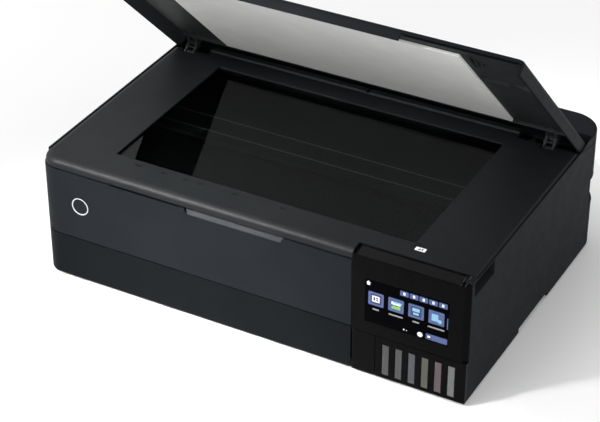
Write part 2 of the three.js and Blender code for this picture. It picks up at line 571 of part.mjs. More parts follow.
// ---- scanner unit ---------------------------------------------------------------------------------
function addScanner() {
  const skirtZ = SEAM_TOP + GAP;
  const r = CORNER_FRONT;
  const rightFront = -171.4;
  const edge = (inset, z) => ({ z, points: plan(-HALF_W + inset, HALF_W - 0.6 - inset * 0.3,
    FRONT + inset, SCANNER_REAR,
    [r - inset * 0.5, 1, 1, 1], 6) });
  // outer form, with the rounded front and left edges
  const outer = loft([edge(0, skirtZ), edge(0, 145.5), edge(1.2, 148.6), edge(3.6, 150.9), edge(7, 152),
    edge(11, TOP)]);
  const under = (inset, z) => ({ z, points: plan(-HALF_W + inset, HALF_W + 5, FRONT + inset,
    SCANNER_REAR - 2.4,
    [r - inset * 0.5, 1, 1, 1], 6) });
  const hollow = loft([under(WALL, skirtZ - 1), under(WALL, 145), under(4.5, 147.6), under(8, 149.2),
    under(12, TOP - DECK_T)]);
  let frame = cut(outer, hollow);
  // room for the control panel, the side walls, the lid wells and the glass
  frame = cut(frame, box(PANEL_LEFT - GAP, 280, -200, rightFront, 120, 160),
    box(250.5, 280, -200, 200, 120, SIDE_TOP + GAP), box(-280, -252, -130.4, 200, 120, SIDE_TOP + GAP),
    box(BAR.x1 + 1, 280, WELL_Y, 200, 120, 160), box(-280, BAR.x0 - 1, WELL_Y, 200, 120, 160),
    box(WINDOW.x0, WINDOW.x1, WINDOW.y0, WINDOW.y1, 120, 160),
    ...HINGE_X.map((x) => box(x - 8, x + 8, 90, 120, 120, 160)));
  put('scanner_front_rim', frame.intersect(box(-280, 280, -200, rightFront - GAP, 100, 200)), casing);
  put('scanner_frame', frame.intersect(box(-280, 280, rightFront, 200, 100, 200)), casing);
  // low ledge along the rear, in two lengths over one strip
  const ledge = bar([[103, TOP + GAP], [107, 155.4], [111, 155.4], [112.5, TOP + GAP]], BAR.x0, BAR.x1);
  put('scanner_ledge', cut(ledge, box(-4.5, -1, 100, 130, TOP + 1, 160)), casing);
  put('scanner_glass', box(WINDOW.x0 - 5, WINDOW.x1 + 5, WINDOW.y0 - 5, WINDOW.y1 + 5, 147.2,
    TOP - DECK_T - GAP), clear);

  // lower tray with the guide rod, the lid hinge posts and the two lift arms
  const floor = 120;
  let base = cut(box(-246, 246, -166, 95, floor, 149.6),
    box(-243.5, 243.5, -163.5, 92.5, floor + 2.5, 160));
  base = join(base, rod('x', -245, 245, -40, 128, 4, 14));
  HINGE_X.forEach((x) => {
    base = cut(base, box(x - 8, x + 8, 90, 96, 141, 150));
    base = join(base, box(x - 13, x + 13, 92.5, 106, floor, 138),
      box(x - 3, x + 3, 94, 102, 137, HINGE_PIN.z),
      rod('x', x - 3, x + 3, HINGE_PIN.y, HINGE_PIN.z, 4, 14),
      rod('x', x - 7.4, x + 7.4, HINGE_PIN.y, HINGE_PIN.z, 2.4, 12));
  });
  LIFT_ARM_X.forEach((x) => {
    const arm = join(box(x - 3, x + 3, 90, 153.6, floor - 2, floor + 5),
      box(x - 3, x + 3, 146.4, 153.6, floor - 2, LIFT_AXIS.z),
      rod('x', x - 3, x + 3, LIFT_AXIS.y, LIFT_AXIS.z, 3.6, 16));
    base = join(base, arm.subtract(rod('x', x - 5, x + 5, LIFT_AXIS.y, LIFT_AXIS.z, 2.5, 12)));
  });
  put('scanner_base', base, inner);

  let carriage = join(box(-238, -214, -156, 88, 133.6, 146.4), box(-238, -214, -47, -33, 123.4, 134));
  carriage = cut(carriage, rod('x', -245, -205, -40, 128, 4.4, 14));
  put('scan_carriage', carriage, inner);
}

// ---- document lid, drawn flat on its own line and turned to its open angle ------------------------
function addLid() {
  const lid = new THREE.Group();
  lid.position.set(0, LID_LINE.y, LID_LINE.z);
  lid.rotation.x = -THREE.MathUtils.degToRad(LID_OPEN);
  printer.add(lid);

  const ring = (inset, rear, z, radius = 14) => ({ z, points: plan(-LID_HALF + inset, LID_HALF - inset,
    -LID_FRONT + inset, -rear, [radius, radius, 10, 10], 5) });
  const outer = loft([
    ring(1, LID_REAR + 1, LID_RIM, 13),
    ring(0, LID_REAR, LID_RIM + 1.2),
    ring(0, LID_REAR, 12.2),
    ring(1.2, LID_REAR + 2, 15.4),
    ring(4.4, LID_REAR + 5.5, LID_TOP),
  ]);
  const hollow = loft([
    ring(2.6, LID_REAR + 2.6, LID_RIM - 1, 11.4),
    ring(2.6, LID_REAR + 2.6, 12.4, 11.4),
    ring(5.4, LID_REAR + 6.6, 15.5, 8),
  ]);
  // the front and rear walls stop higher than the side walls, and the front one is open at the right
  const frontEdge = box(-LID_HALF + 2.6, LID_HALF - 2.6, -LID_FRONT - 2, -LID_FRONT + 4, 0, 4.2);
  const rearEdge = box(-280, 280, 3, 20, 0, 8.5);
  const frontGrip = box(LID_GRIP.x0, LID_GRIP.x1, -LID_FRONT - 2, -LID_FRONT + 10, 0, LID_GRIP.t);
  put('lid_top_shell', cut(outer, hollow, frontEdge, rearEdge, frontGrip), casing, lid);

  let tray = box(-252, 252, -277, -30.6, 14.1, 15.2);
  const pin = [-LID_PIN.s, LID_PIN.t];
  HINGE_X.forEach((x) => {
    [-5.4, 5.4].forEach((side) => {
      const x0 = x + side - 1.6;
      const x1 = x + side + 1.6;
      const plate = join(rod('x', x0, x1, pin[0], pin[1], 4.6, 14),
        bar([[pin[0] - 4, pin[1]], [pin[0] + 4, pin[1]], [pin[0] + 4, 15.2], [-40, 15.2], [-40, 13.4],
          [pin[0] - 4, 11]], x0, x1));
      tray = join(tray, plate.subtract(rod('x', x0 - 1, x1 + 1, pin[0], pin[1], 2.8, 12)));
    });
  });
  put('lid_underside', tray, inner, lid);
  put('lid_pad', box(-184, 182, -254.7, -31, 10.4, 13.9), white, lid);
}

addBase();
addSideCasings();
addRear();
addFront();
addCassette();
addOutputTray();
addInkUnit();
addCardDoor();
addControlPanel();
addPrintEngine();
addElectrics();
addRearFeed();
addScanner();
addLid();

export default printer;
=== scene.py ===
# Inkjet all-in-one printer with its document lid open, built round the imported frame.
# Shapes are drawn in millimetres in the row frame, and turned into metres when a piece is finished.
import json
import math

import bmesh
import bpy
from mathutils import Matrix, Vector


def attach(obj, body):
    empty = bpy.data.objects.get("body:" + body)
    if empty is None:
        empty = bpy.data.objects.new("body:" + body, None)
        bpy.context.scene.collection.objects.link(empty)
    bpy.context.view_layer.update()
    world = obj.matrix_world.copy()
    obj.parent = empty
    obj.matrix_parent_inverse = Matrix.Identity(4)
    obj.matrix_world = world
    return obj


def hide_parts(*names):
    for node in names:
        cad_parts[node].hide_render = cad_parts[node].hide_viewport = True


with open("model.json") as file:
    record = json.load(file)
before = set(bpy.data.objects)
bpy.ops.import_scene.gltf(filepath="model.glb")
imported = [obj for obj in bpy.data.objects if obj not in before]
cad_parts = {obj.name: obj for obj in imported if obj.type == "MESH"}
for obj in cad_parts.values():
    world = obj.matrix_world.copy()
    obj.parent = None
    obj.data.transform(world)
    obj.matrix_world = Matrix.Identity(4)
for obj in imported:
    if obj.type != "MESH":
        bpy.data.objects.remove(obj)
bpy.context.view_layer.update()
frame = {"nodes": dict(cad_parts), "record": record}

MM = 0.001

# ---- driving dimensions, as in the frame ---------------------------------------------------------
HALF_W = 261.5
FRONT = -189.5
BACK = 180.5
REARMOST = 189.5
WALL = 2.5
GAP = 0.4
BASE_Z = 3.0
SEAM_LOW = 57.0
SEAM_TOP = 141.3
SIDE_TOP = 150.0
TOP = 152.5
CORNER_FRONT = 23.0
CORNER_REAR = 37.0
PANEL_LEFT = 129.0
PANEL_BOTTOM = 54.8
PANEL_BACK = -173.0
PANEL_END = 251.9
TILT_Y, TILT_Z = -178.0, 147.6
PANEL_PIN_X = (150, 240)
SCREEN = (144.8, 239.8, 69.8, 123.7)
DECK_FRONT = 139.0
COVER_Z = 142.0
SEAM_TIP = 106.0
SCANNER_REAR = 116.0
SCANNER_FRONT_RIGHT = -171.4
WELL_Y = 97.0
WINDOW = (-185.0, 179.8, -145.6, 77.3)
DECK_T = 2.2
BAR = (-213.0, 187.0)
HINGE_X = (-238.0, 225.0)
LID_Y, LID_Z = 108.6, 143.4
LID_OPEN = math.radians(44.9)
LID_FRONT = 284.5
LID_REAR = -14.0
LID_HALF = 259.6
LID_TOP = 17.4
LID_RIM = 0.8
PIN_Y, PIN_Z = -10.47, -4.51
WINDOW_FIRST, WINDOW_PITCH, WINDOW_W = 165.3, 15.12, 8.4
WINDOW_Z = (6.7, 46.0)
POWER_X, POWER_Z = -207.6, 100.7
REAR_SLOT = (-185.0, 165.0, 143.0, 175.0)
INLET_X = -206.0
FLAP_Y, FLAP_Z = -183.0, 8.0
FLAP_LUG_X = (-170, 50)
DOOR_X, DOOR_Y = 132.4, -186.2
LIFT_Y, LIFT_Z = 150.0, 146.0
LIFT_ARM_X = (-204, 189)
GRIP_X = (-75.0, 49.0)
GRIP_Z = 134.4
NOTCH_TOP = 143
PANEL_SIDE_Y = -183.1
LIFT_POCKET = (-178.0, -129.0, 131.0, 148.6)
REAR_GROOVE_X, REAR_GROOVE_Z = 195.0, (62.0, 93.0)
SIZE_MARKS = ((-150, 5.0), (-117, 3.6), (-90, 3.2), (-72, 3.2), (-29, 4.0), (30, 4.4))
LID_SIDE = 2.4
TRAY_LOW, TRAY_HIGH = 14.1, 15.3
PANEL_LIP = PANEL_BACK - 1.5
PANEL_FRONT_Z, PANEL_REAR_Z = 149.0, 152.2
# x spans of the thin painted highlight lines on the corner edges
CORNER_HIGHLIGHTS = ((250.2, 250.8), (254.9, 255.5))
INK = 0.05

# ---- sizes that only help the modelling ----------------------------------------------------------
FAR = 280
CURVE = 28
MERGE = 2e-3
FLAT, SHARP, ROUNDED = math.radians(0.25), math.radians(32), math.radians(34)
PLATE_T, PLATE_STEP = 0.12, 0.02


# ---- solid shapes --------------------------------------------------------------------------------
def solid(verts, faces):
    mesh = bpy.data.meshes.new("shape")
    mesh.from_pydata([Vector(v) for v in verts], [], faces)
    obj = bpy.data.objects.new("shape", mesh)
    bpy.context.scene.collection.objects.link(obj)
    return obj


def evaluated(obj):
    """The object's mesh with its modifiers applied."""
    graph = bpy.context.evaluated_depsgraph_get()
    mesh = bpy.data.meshes.new_from_object(obj.evaluated_get(graph))
    old = obj.data
    obj.modifiers.clear()
    obj.data = mesh
    bpy.data.meshes.remove(old)
    return obj


def combine(shape, tools, operation):
    for tool in tools:
        step = shape.modifiers.new("combine", "BOOLEAN")
        step.operation = operation
        step.solver = "MANIFOLD"
        step.object = tool
    evaluated(shape)
    for tool in tools:
        drop(tool)
    return shape


def drop(obj):
    mesh = obj.data
    bpy.data.objects.remove(obj)
    bpy.data.meshes.remove(mesh)


def join(shape, *others):
    return combine(shape, others, "UNION")


def cut(shape, *tools):
    return combine(shape, tools, "DIFFERENCE")


def meet(shape, other):
    return combine(shape, [other], "INTERSECT")


def copied(shape):
    obj = bpy.data.objects.new("shape", shape.data.copy())
    bpy.context.scene.collection.objects.link(obj)
    return obj


def skin(rings):
    """Closed skin through rings of points, each with the same number of points."""
    count = len(rings[0])
    verts = [p for ring in rings for p in ring]
    faces = [tuple(reversed(range(count)))]
    for k in range(len(rings) - 1):
        for i in range(count):
            a, b = k * count + i, k * count + (i + 1) % count
            faces.append((a, b, b + count, a + count))
    faces.append(tuple(range((len(rings) - 1) * count, len(rings) * count)))
    return solid(verts, faces)


def prism(points, z0, z1):
    return skin([[(x, y, z) for x, y in points] for z in (z0, z1)])


def bar(points, x0, x1):
    """Prism of an outline drawn anticlockwise in (y, z), running along X."""
    return skin([[(x, y, z) for y, z in points] for x in (x0, x1)])


def box(x0, x1, y0, y1, z0, z1):
    return prism([(x0, y0), (x1, y0), (x1, y1), (x0, y1)], z0, z1)


def circle(a, b, radius, sides):
    angles = [2 * math.pi * k / sides for k in range(sides)]
    return [(a + radius * math.cos(angle), b + radius * math.sin(angle)) for angle in angles]


def rod(axis, start, end, a, b, radius, sides=40):
    """Round bar along an axis, centred on its other two coordinates."""
    rings = []
    for place in (start, end):
        ring = circle(a, b, radius, sides)
        if axis == "x":
            rings.append([(place, u, v) for u, v in ring])
        elif axis == "y":
            rings.append([(u, place, v) for u, v in reversed(ring)])
        else:
            rings.append([(u, v, place) for u, v in ring])
    return skin(rings)


def plan(x0, x1, y0, y1, radii, steps=20):
    """Outline of a rectangle with its own radius at each corner, anticlockwise from front left."""
    corners = ((x0, y0, 1, 1, math.pi), (x1, y0, -1, 1, 1.5 * math.pi),
               (x1, y1, -1, -1, 0), (x0, y1, 1, -1, 0.5 * math.pi))
    points = []
    for (cx, cy, sx, sy, start), r in zip(corners, radii):
        if r <= 0:
            points.append((cx, cy))
            continue
        for k in range(steps + 1):
            angle = start + k / steps * math.pi / 2
            points.append((cx + sx * r + r * math.cos(angle), cy + sy * r + r * math.sin(angle)))
    return points


def quarter(turns):
    """Steps of a quarter turn, as (how far in, how far up), both from 0 to 1."""
    angles = [k / turns * math.pi / 2 for k in range(turns + 1)]
    return [(1 - math.cos(angle), math.sin(angle)) for angle in angles]


def level(points, z):
    return [(x, y, z) for x, y in points]


def hull(points):
    """Convex body round a few points."""
    bm = bmesh.new()
    for p in points:
        bm.verts.new(p)
    bmesh.ops.convex_hull(bm, input=bm.verts)
    obj = solid([], [])
    bm.to_mesh(obj.data)
    bm.free()
    return obj


def lid_place(shape):
    """Turn a shape drawn about the lid's hinge line, with the lid shut, to the open lid."""
    turn = Matrix.Translation((0, LID_Y, LID_Z)) @ Matrix.Rotation(-LID_OPEN, 4, "X")
    shape.data.transform(turn)
    return shape


# ---- finishing a piece ---------------------------------------------------------------------------
def smooth(mesh):
    """Smooth shading, with an edge that turns more than SHARP kept sharp."""
    for polygon in mesh.polygons:
        polygon.use_smooth = True
    mesh.set_sharp_from_angle(angle=SHARP)


def tidy(mesh):
    """Merge what the booleans leave doubled, and faces that lie in one plane."""
    bm = bmesh.new()
    bm.from_mesh(mesh)
    bmesh.ops.remove_doubles(bm, verts=bm.verts, dist=MERGE)
    bmesh.ops.dissolve_degenerate(bm, edges=bm.edges, dist=MERGE)
    bmesh.ops.dissolve_limit(bm, angle_limit=FLAT, verts=bm.verts, edges=bm.edges, delimit={"MATERIAL"})
    bmesh.ops.recalc_face_normals(bm, faces=bm.faces)
    bm.to_mesh(mesh)
    bm.free()


def soften(shape, width, segments):
    """Round the edges of a shape in millimetres, which stays in its own box."""
    tidy(shape.data)
    corners = [v.co for v in shape.data.vertices]
    low = [min(c[i] for c in corners) for i in range(3)]
    high = [max(c[i] for c in corners) for i in range(3)]
    step = shape.modifiers.new("round", "BEVEL")
    step.width = width
    step.segments = segments
    step.limit_method = "ANGLE"
    step.angle_limit = ROUNDED
    step.use_clamp_overlap = False
    evaluated(shape)
    for vertex in shape.data.vertices:
        vertex.co = [min(max(vertex.co[i], low[i]), high[i]) for i in range(3)]
    return shape


def finished(obj, look):
    """Smooth shading that keeps flat faces flat, metres in place of millimetres, and one material."""
    smooth(obj.data)
    step = obj.modifiers.new("normals", "WEIGHTED_NORMAL")
    step.keep_sharp = True
    evaluated(obj)
    obj.data.transform(Matrix.Scale(MM, 4))
    obj.data.materials.clear()
    obj.data.materials.append(look)
    return obj


def piece(name, shape, look, body, replaces=(), edge=0.5, segments=2):
    """One finished piece: its edges rounded by edge millimetres, on a body, in place of CAD nodes."""
    if edge:
        soften(shape, edge, segments)
    finished(shape, look)
    shape.name = name
    shape.data.name = name
    if replaces:
        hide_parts(*replaces)
    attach(shape, body)
    return shape


BODY_OF = {node: body for body, nodes in frame["record"]["behaviour"]["bodies"].items() for node in nodes}


def refined(node, look, edge):
    """A CAD node's own shape with rounded edges and a finished material, in the node's place."""
    obj = bpy.data.objects.new("shape", frame["nodes"][node].data.copy())
    bpy.context.scene.collection.objects.link(obj)
    obj.data.transform(Matrix.Scale(1 / MM, 4))
    return piece("v_" + node, obj, look, BODY_OF[node], [node], edge)


# ---- materials -----------------------------------------------------------------------------------
def linear(value):
    value /= 255
    return value / 12.92 if value <= 0.04045 else ((value + 0.055) / 1.055) ** 2.4


def colour(r, g, b):
    return (linear(r), linear(g), linear(b), 1.0)


def scaled(shade, factor):
    return tuple(min(1.0, c * factor) for c in shade[:3]) + (1.0,)


def new_look(name):
    look = bpy.data.materials.new(name)
    look.use_nodes = True
    return look, look.node_tree.nodes, look.node_tree.links, look.node_tree.nodes["Principled BSDF"]


def noise(nodes, links, scale, detail=3.0, roughness=0.55):
    coords = nodes.new("ShaderNodeTexCoord")
    texture = nodes.new("ShaderNodeTexNoise")
    texture.inputs["Scale"].default_value = scale
    texture.inputs["Detail"].default_value = detail
    texture.inputs["Roughness"].default_value = roughness
    links.new(coords.outputs["Object"], texture.inputs["Vector"])
    return texture


def spread(nodes, links, source, low, high):
    """A 0 to 1 texture value, mapped to a range about its middle."""
    node = nodes.new("ShaderNodeMapRange")
    node.inputs["From Min"].default_value = 0.3
    node.inputs["From Max"].default_value = 0.7
    node.inputs["To Min"].default_value = low
    node.inputs["To Max"].default_value = high
    links.new(source, node.inputs["Value"])
    return node.outputs["Result"]


def tint(nodes, links, source, dark, light):
    node = nodes.new("ShaderNodeMix")
    node.data_type = "RGBA"
    node.inputs["A"].default_value = dark
    node.inputs["B"].default_value = light
    links.new(source, node.inputs["Factor"])
    return node.outputs["Result"]


def grain(nodes, links, shader, texture_output, strength, distance):
    bump = nodes.new("ShaderNodeBump")
    bump.inputs["Strength"].default_value = strength
    bump.inputs["Distance"].default_value = distance * MM
    links.new(texture_output, bump.inputs["Height"])
    links.new(bump.outputs["Normal"], shader.inputs["Normal"])


def plastic(name, dark, light, rough, grain_mm=0.55, depth=0.03, specular=0.5, strength=0.5):
    """Moulded plastic: a fine spark-eroded grain, with faint blotches in its colour and gloss."""
    look, nodes, links, shader = new_look(name)
    blotch = noise(nodes, links, 28, 4)
    mix = spread(nodes, links, blotch.outputs["Fac"], 0, 1)
    links.new(tint(nodes, links, mix, colour(*dark), colour(*light)), shader.inputs["Base Color"])
    cloud = noise(nodes, links, 90, 5)
    links.new(spread(nodes, links, cloud.outputs["Fac"], rough[0], rough[1]), shader.inputs["Roughness"])
    shader.inputs["Specular IOR Level"].default_value = specular
    fine = noise(nodes, links, 1 / (grain_mm * MM), 2, 0.6)
    grain(nodes, links, shader, fine.outputs["Fac"], strength, depth)
    return look


def glow(name, rgb, strength):
    """Lit plastic or display area, its glow varied by a fine noise."""
    look, nodes, links, shader = new_look(name)
    soft = noise(nodes, links, 600, 2)
    lit = colour(*rgb)
    mix = spread(nodes, links, soft.outputs["Fac"], 0, 1)
    links.new(tint(nodes, links, mix, scaled(lit, 0.86), lit), shader.inputs["Emission Color"])
    shader.inputs["Base Color"].default_value = scaled(lit, 0.3)
    shader.inputs["Emission Strength"].default_value = strength
    shader.inputs["Roughness"].default_value = 0.25
    return look


casing = plastic("casing_plastic", (24, 26, 29), (27, 29, 32), (0.42, 0.5), specular=0.02)
casing_top = plastic("scanner_plastic", (20, 22, 24), (23, 25, 26), (0.46, 0.52), specular=0.13)
panel_gloss = plastic("panel_gloss", (4, 4, 5), (6, 6, 7), (0.16, 0.2), 0.9, 0.006, 0.035, 0.25)
inner = plastic("inner_plastic", (24, 25, 26), (28, 29, 30), (0.5, 0.6), 0.7, 0.04, 0.12)
lid_inner = plastic("lid_underside_plastic", (37, 39, 40), (41, 43, 44), (0.5, 0.58), 0.7, 0.04, 0.15)
white_mat = plastic("document_mat", (214, 215, 213), (222, 222, 219), (0.5, 0.62), 1.6, 0.008)
rubber = plastic("rubber", (30, 30, 31), (38, 38, 38), (0.75, 0.9), 0.9, 0.06, 0.3)
steel = plastic("pressed_steel", (176, 178, 181), (192, 194, 197), (0.28, 0.42), 1.2, 0.02)
steel.node_tree.nodes["Principled BSDF"].inputs["Metallic"].default_value = 1.0
board = plastic("circuit_board", (30, 88, 54), (36, 100, 62), (0.3, 0.42), 1.0, 0.03)
print_dark = plastic("dark_print", (9, 10, 11), (12, 13, 14), (0.5, 0.6), 0.9, 0.01, 0.1)
rail_grey = plastic("guide_rail_steel", (120, 122, 124), (140, 142, 144), (0.4, 0.5), 0.9, 0.01, 0.4)
# near-black fill for the lid's grip recess: painted shade of the recess
recess_shade_look = plastic("lid_recess_painted_shade", (7, 7, 8), (9, 9, 10), (0.55, 0.65), 0.7, 0.03, 0.05)
panel_top = plastic("panel_top_plastic", (19, 18, 18), (21, 20, 20), (0.4, 0.5), 0.7, 0.02, 0.05)
# thin light lines along the panel's and casing's corner edges: painted highlights where the edges catch the
# light
edge_highlight_look = plastic("painted_edge_highlight", (62, 63, 64), (70, 71, 72), (0.25, 0.35), 0.9, 0.01, 0.3)
# lighter plastic for the front finger grip: a painted highlight where the grip's slope catches the light
grip_highlight_look = plastic("front_grip_painted_highlight", (37, 39, 42), (40, 42, 45), (0.42, 0.5), specular=0.05)
# lower cover made darker than the casing: painted shade standing in for the dimmer light near the floor
cover_painted_shade = plastic("lower_cover_painted_shade", (16, 18, 20), (19, 21, 23), (0.42, 0.5), specular=0.015)
ring_light = glow("power_ring_light", (226, 230, 236), 0.75)


def brushed(look, scale_across=900.0, scale_along=14.0):
    """Fine scratches along X on a metal."""
    nodes, links = look.node_tree.nodes, look.node_tree.links
    shader = nodes["Principled BSDF"]
    coords = nodes.new("ShaderNodeTexCoord")
    mapping = nodes.new("ShaderNodeMapping")
    mapping.inputs["Scale"].default_value = (scale_along, scale_across, scale_across)
    texture = nodes.new("ShaderNodeTexNoise")
    texture.inputs["Scale"].default_value = 1.0
    texture.inputs["Detail"].default_value = 2.0
    links.new(coords.outputs["Object"], mapping.inputs["Vector"])
    links.new(mapping.outputs["Vector"], texture.inputs["Vector"])
    links.new(spread(nodes, links, texture.outputs["Fac"], 0.22, 0.42), shader.inputs["Roughness"])


brushed(steel)


def tank_look(name, rgb):
    """Frosted translucent tank wall over ink: speckled, lighter where the wall scatters."""
    look, nodes, links, shader = new_look(name)
    fleck = noise(nodes, links, 1500, 3, 0.7)
    wall = colour(*rgb)
    mix = spread(nodes, links, fleck.outputs["Fac"], 0.1, 0.9)
    links.new(tint(nodes, links, mix, scaled(wall, 0.62), scaled(wall, 1.35)), shader.inputs["Base Color"])
    shader.inputs["Roughness"].default_value = 0.38
    shader.inputs["Subsurface Weight"].default_value = 0.12
    shader.inputs["Subsurface Scale"].default_value = 0.002
    grain(nodes, links, shader, fleck.outputs["Fac"], 0.4, 0.05)
    return look


INK_RGB = ((50, 50, 50), (49, 49, 50), (53, 56, 62), (61, 62, 51), (72, 59, 64), (89, 90, 91))
ink_looks = [tank_look("ink_tank_wall_%d" % (i + 1), rgb) for i, rgb in enumerate(INK_RGB)]


def glass_look():
    look, nodes, links, shader = new_look("scanner_glass_pane")
    shader.inputs["Base Color"].default_value = (0.3, 0.33, 0.33, 1.0)
    shader.inputs["Transmission Weight"].default_value = 1.0
    shader.inputs["IOR"].default_value = 1.22
    smear = noise(nodes, links, 14, 4)
    links.new(spread(nodes, links, smear.outputs["Fac"], 0.0, 0.012), shader.inputs["Roughness"])
    return look


glass = glass_look()


# ---- casings -------------------------------------------------------------------------------------
def front_shell(z0, z1):
    right = PANEL_LEFT - GAP
    rear = FRONT + CORNER_FRONT
    outer = prism(plan(-HALF_W, right, FRONT, rear, (CORNER_FRONT, 0, 0, 0), CURVE), z0, z1)
    inside = plan(-HALF_W + WALL, right + 5, FRONT + WALL, rear + 5, (CORNER_FRONT - WALL, 0, 0, 0), CURVE)
    return cut(outer, prism(inside, z0 - 1, z1 + 1))


def build_front():
    z0, z1 = SEAM_LOW + 2 * GAP, SEAM_TOP - 2 * GAP
    left, right = GRIP_X
    upper = join(front_shell(z0, z1), box(-250, 126, FRONT + 1, -176, z0, z0 + 2),
                 box(left - 6, right + 6, FRONT + 1, FRONT + 11, 124, z1))
    upper = cut(upper, rod("y", FRONT - 5, FRONT + 8, POWER_X, POWER_Z, 10.8, 64))
    # sloped finger grip in the top edge, and the shallow step to its left
    foot = [(x, FRONT + d, GRIP_Z + d) for x in (left + 6, right - 5) for d in (-1, 0)]
    head = [(x, FRONT + d, NOTCH_TOP) for x in (left + 1, right) for d in (-1, 7.6)]
    step = box(-166, left + 1, FRONT - 1, FRONT + WALL + 6, 139.5, NOTCH_TOP)
    upper = cut(upper, hull(foot + head), step)
    # lighter sheet laid in the grip's slope: painted highlight
    corners = [(x, FRONT + 0.25, GRIP_Z + 0.5) for x in (left + 6.8, right - 5.8)]
    corners += [(x, FRONT + 5.0, 140.2) for x in (left + 1.9, right - 0.9)]
    highlight_sheet = hull([(x, y + d, z - d) for x, y, z in corners for d in (0.0, 0.5)])
    piece("front_grip_highlight_sheet", highlight_sheet, grip_highlight_look, "root", edge=0.15)
    piece("front_upper_panel_shell", upper, casing, "root", ["front_upper_panel"], 0.5)

    ring = cut(rod("y", FRONT + 0.05, FRONT + 3, POWER_X, POWER_Z, 10.5, 72),
               rod("y", FRONT - 3, FRONT + 6, POWER_X, POWER_Z, 9.6, 72))
    piece("power_button_ring", ring, ring_light, "root", ["power_ring"], 0.2)
    button = join(rod("y", FRONT + 0.3, FRONT + 4, POWER_X, POWER_Z, 9.3, 64),
                  rod("y", FRONT + 3, FRONT + 12, POWER_X, POWER_Z, 4, 24))
    piece("power_button_cap", button, casing, "button", ["power_button"], 0.4)

    flap = front_shell(BASE_Z + 0.2, SEAM_LOW - GAP)
    for x in FLAP_LUG_X:
        lugs = [box(x0, x0 + 4, FRONT + 2, -179, 5, 11) for x0 in (x - 8, x + 4)]
        flap = join(flap, *lugs, rod("x", x - 5, x + 5, FLAP_Y, FLAP_Z, 1.5, 24))
    sweep = bar([(FLAP_Y, SEAM_LOW - GAP), (-166, 54), (-166, 60), (FLAP_Y, 60)], -FAR, -232)
    toe = bar([(FRONT - 1, 0), (FRONT + 1.2, 0), (FRONT + 1.2, BASE_Z + 0.2), (FRONT, BASE_Z + 1.4),
               (FRONT - 1, BASE_Z + 1.4)], -FAR, FAR)
    flap = cut(flap, sweep, box(-FAR, -232, -167.2, -160, 0, 60), toe)
    # the lower cover takes the darker plastic: painted shade
    piece("front_lower_cover", flap, cover_painted_shade, "flap", ["front_cover"], 0.5)


def build_sides():
    rear_end = BACK - CORNER_REAR - GAP

    def carry(side):
        return box(side - 4, side + 4, -48, 30, 0, BASE_Z + 5.5)

    def relief(x0, x1):
        return box(x0, x1, 80, DECK_FRONT, 118, 160)

    def rise(x0, x1):
        """The wall's top climbs to the height of the rear cover."""
        return bar([(SEAM_TIP, SIDE_TOP - 1), (DECK_FRONT - GAP, SIDE_TOP - 1), (DECK_FRONT - GAP, TOP),
                    (124, TOP), (SEAM_TIP + 1.5, SIDE_TOP), (SEAM_TIP, SIDE_TOP)], x0, x1)

    def seam(x0, x1):
        """Groove where the rear cover's side meets the wall."""
        front, rear = SEAM_TIP - 1, DECK_FRONT + 2
        return bar([(front, 148.5), (rear, SEAM_TOP), (rear, SEAM_TOP + 0.6), (front, 149.1)], x0, x1)

    def rear_step():
        return box(-FAR, FAR, DECK_FRONT - GAP, 200, COVER_Z - GAP, 160)

    left = join(box(-HALF_W, -HALF_W + WALL, FRONT + CORNER_FRONT + GAP, rear_end, BASE_Z, SIDE_TOP),
                rise(-HALF_W, -HALF_W + WALL))
    left = cut(left, carry(-HALF_W), relief(-260.2, -255), rear_step(), seam(-263, -HALF_W + 0.7))
    piece("left_side_casing", left, casing, "root", ["left_casing"], 0.4)

    y0, y1, z0, z1 = LIFT_POCKET
    back = HALF_W - 7.5
    right = box(HALF_W - WALL, HALF_W, PANEL_SIDE_Y, rear_end, BASE_Z, SIDE_TOP)
    right = join(right, box(back - 1.5, HALF_W, y0 - 1.5, y1 + 1.5, z0 - 1.5, SIDE_TOP),
                 box(PANEL_END + GAP, HALF_W, PANEL_SIDE_Y, -171.8, 140, TOP - 0.3),
                 rise(HALF_W - WALL, HALF_W))
    # room for the edge of the tilting panel
    sweep = bar([(-184, 148.4), (PANEL_SIDE_Y, 148.4), (-182.2, 150.4), (-180.6, TOP - 0.3), (-180, 154),
                 (-184, 154)], 250, 270)
    scoop = hull([(back, y, z) for y in (y0 + 1, y1 - 2) for z in (z0 + 4, z1)]
                 + [(HALF_W + 2, y, z) for y in (y0, y1) for z in (z0, z1)])
    right = cut(right, scoop, carry(HALF_W), relief(255, 260.2), rear_step(), sweep,
                seam(HALF_W - 0.7, 263))
    # thin light line on the casing's top corner edge: painted highlight
    line = box(*CORNER_HIGHLIGHTS[1], -179.5, -172.6, TOP - 0.32, TOP - 0.08)
    piece("casing_corner_highlight_line", line, edge_highlight_look, "root", edge=0.08)
    piece("right_side_casing", right, casing, "root", ["right_casing"], 0.4)


def rear_outline(inset, y0):
    r = CORNER_REAR - inset
    return plan(-HALF_W + inset, HALF_W - inset, y0, BACK - inset, (0, 0, r, r), CURVE)


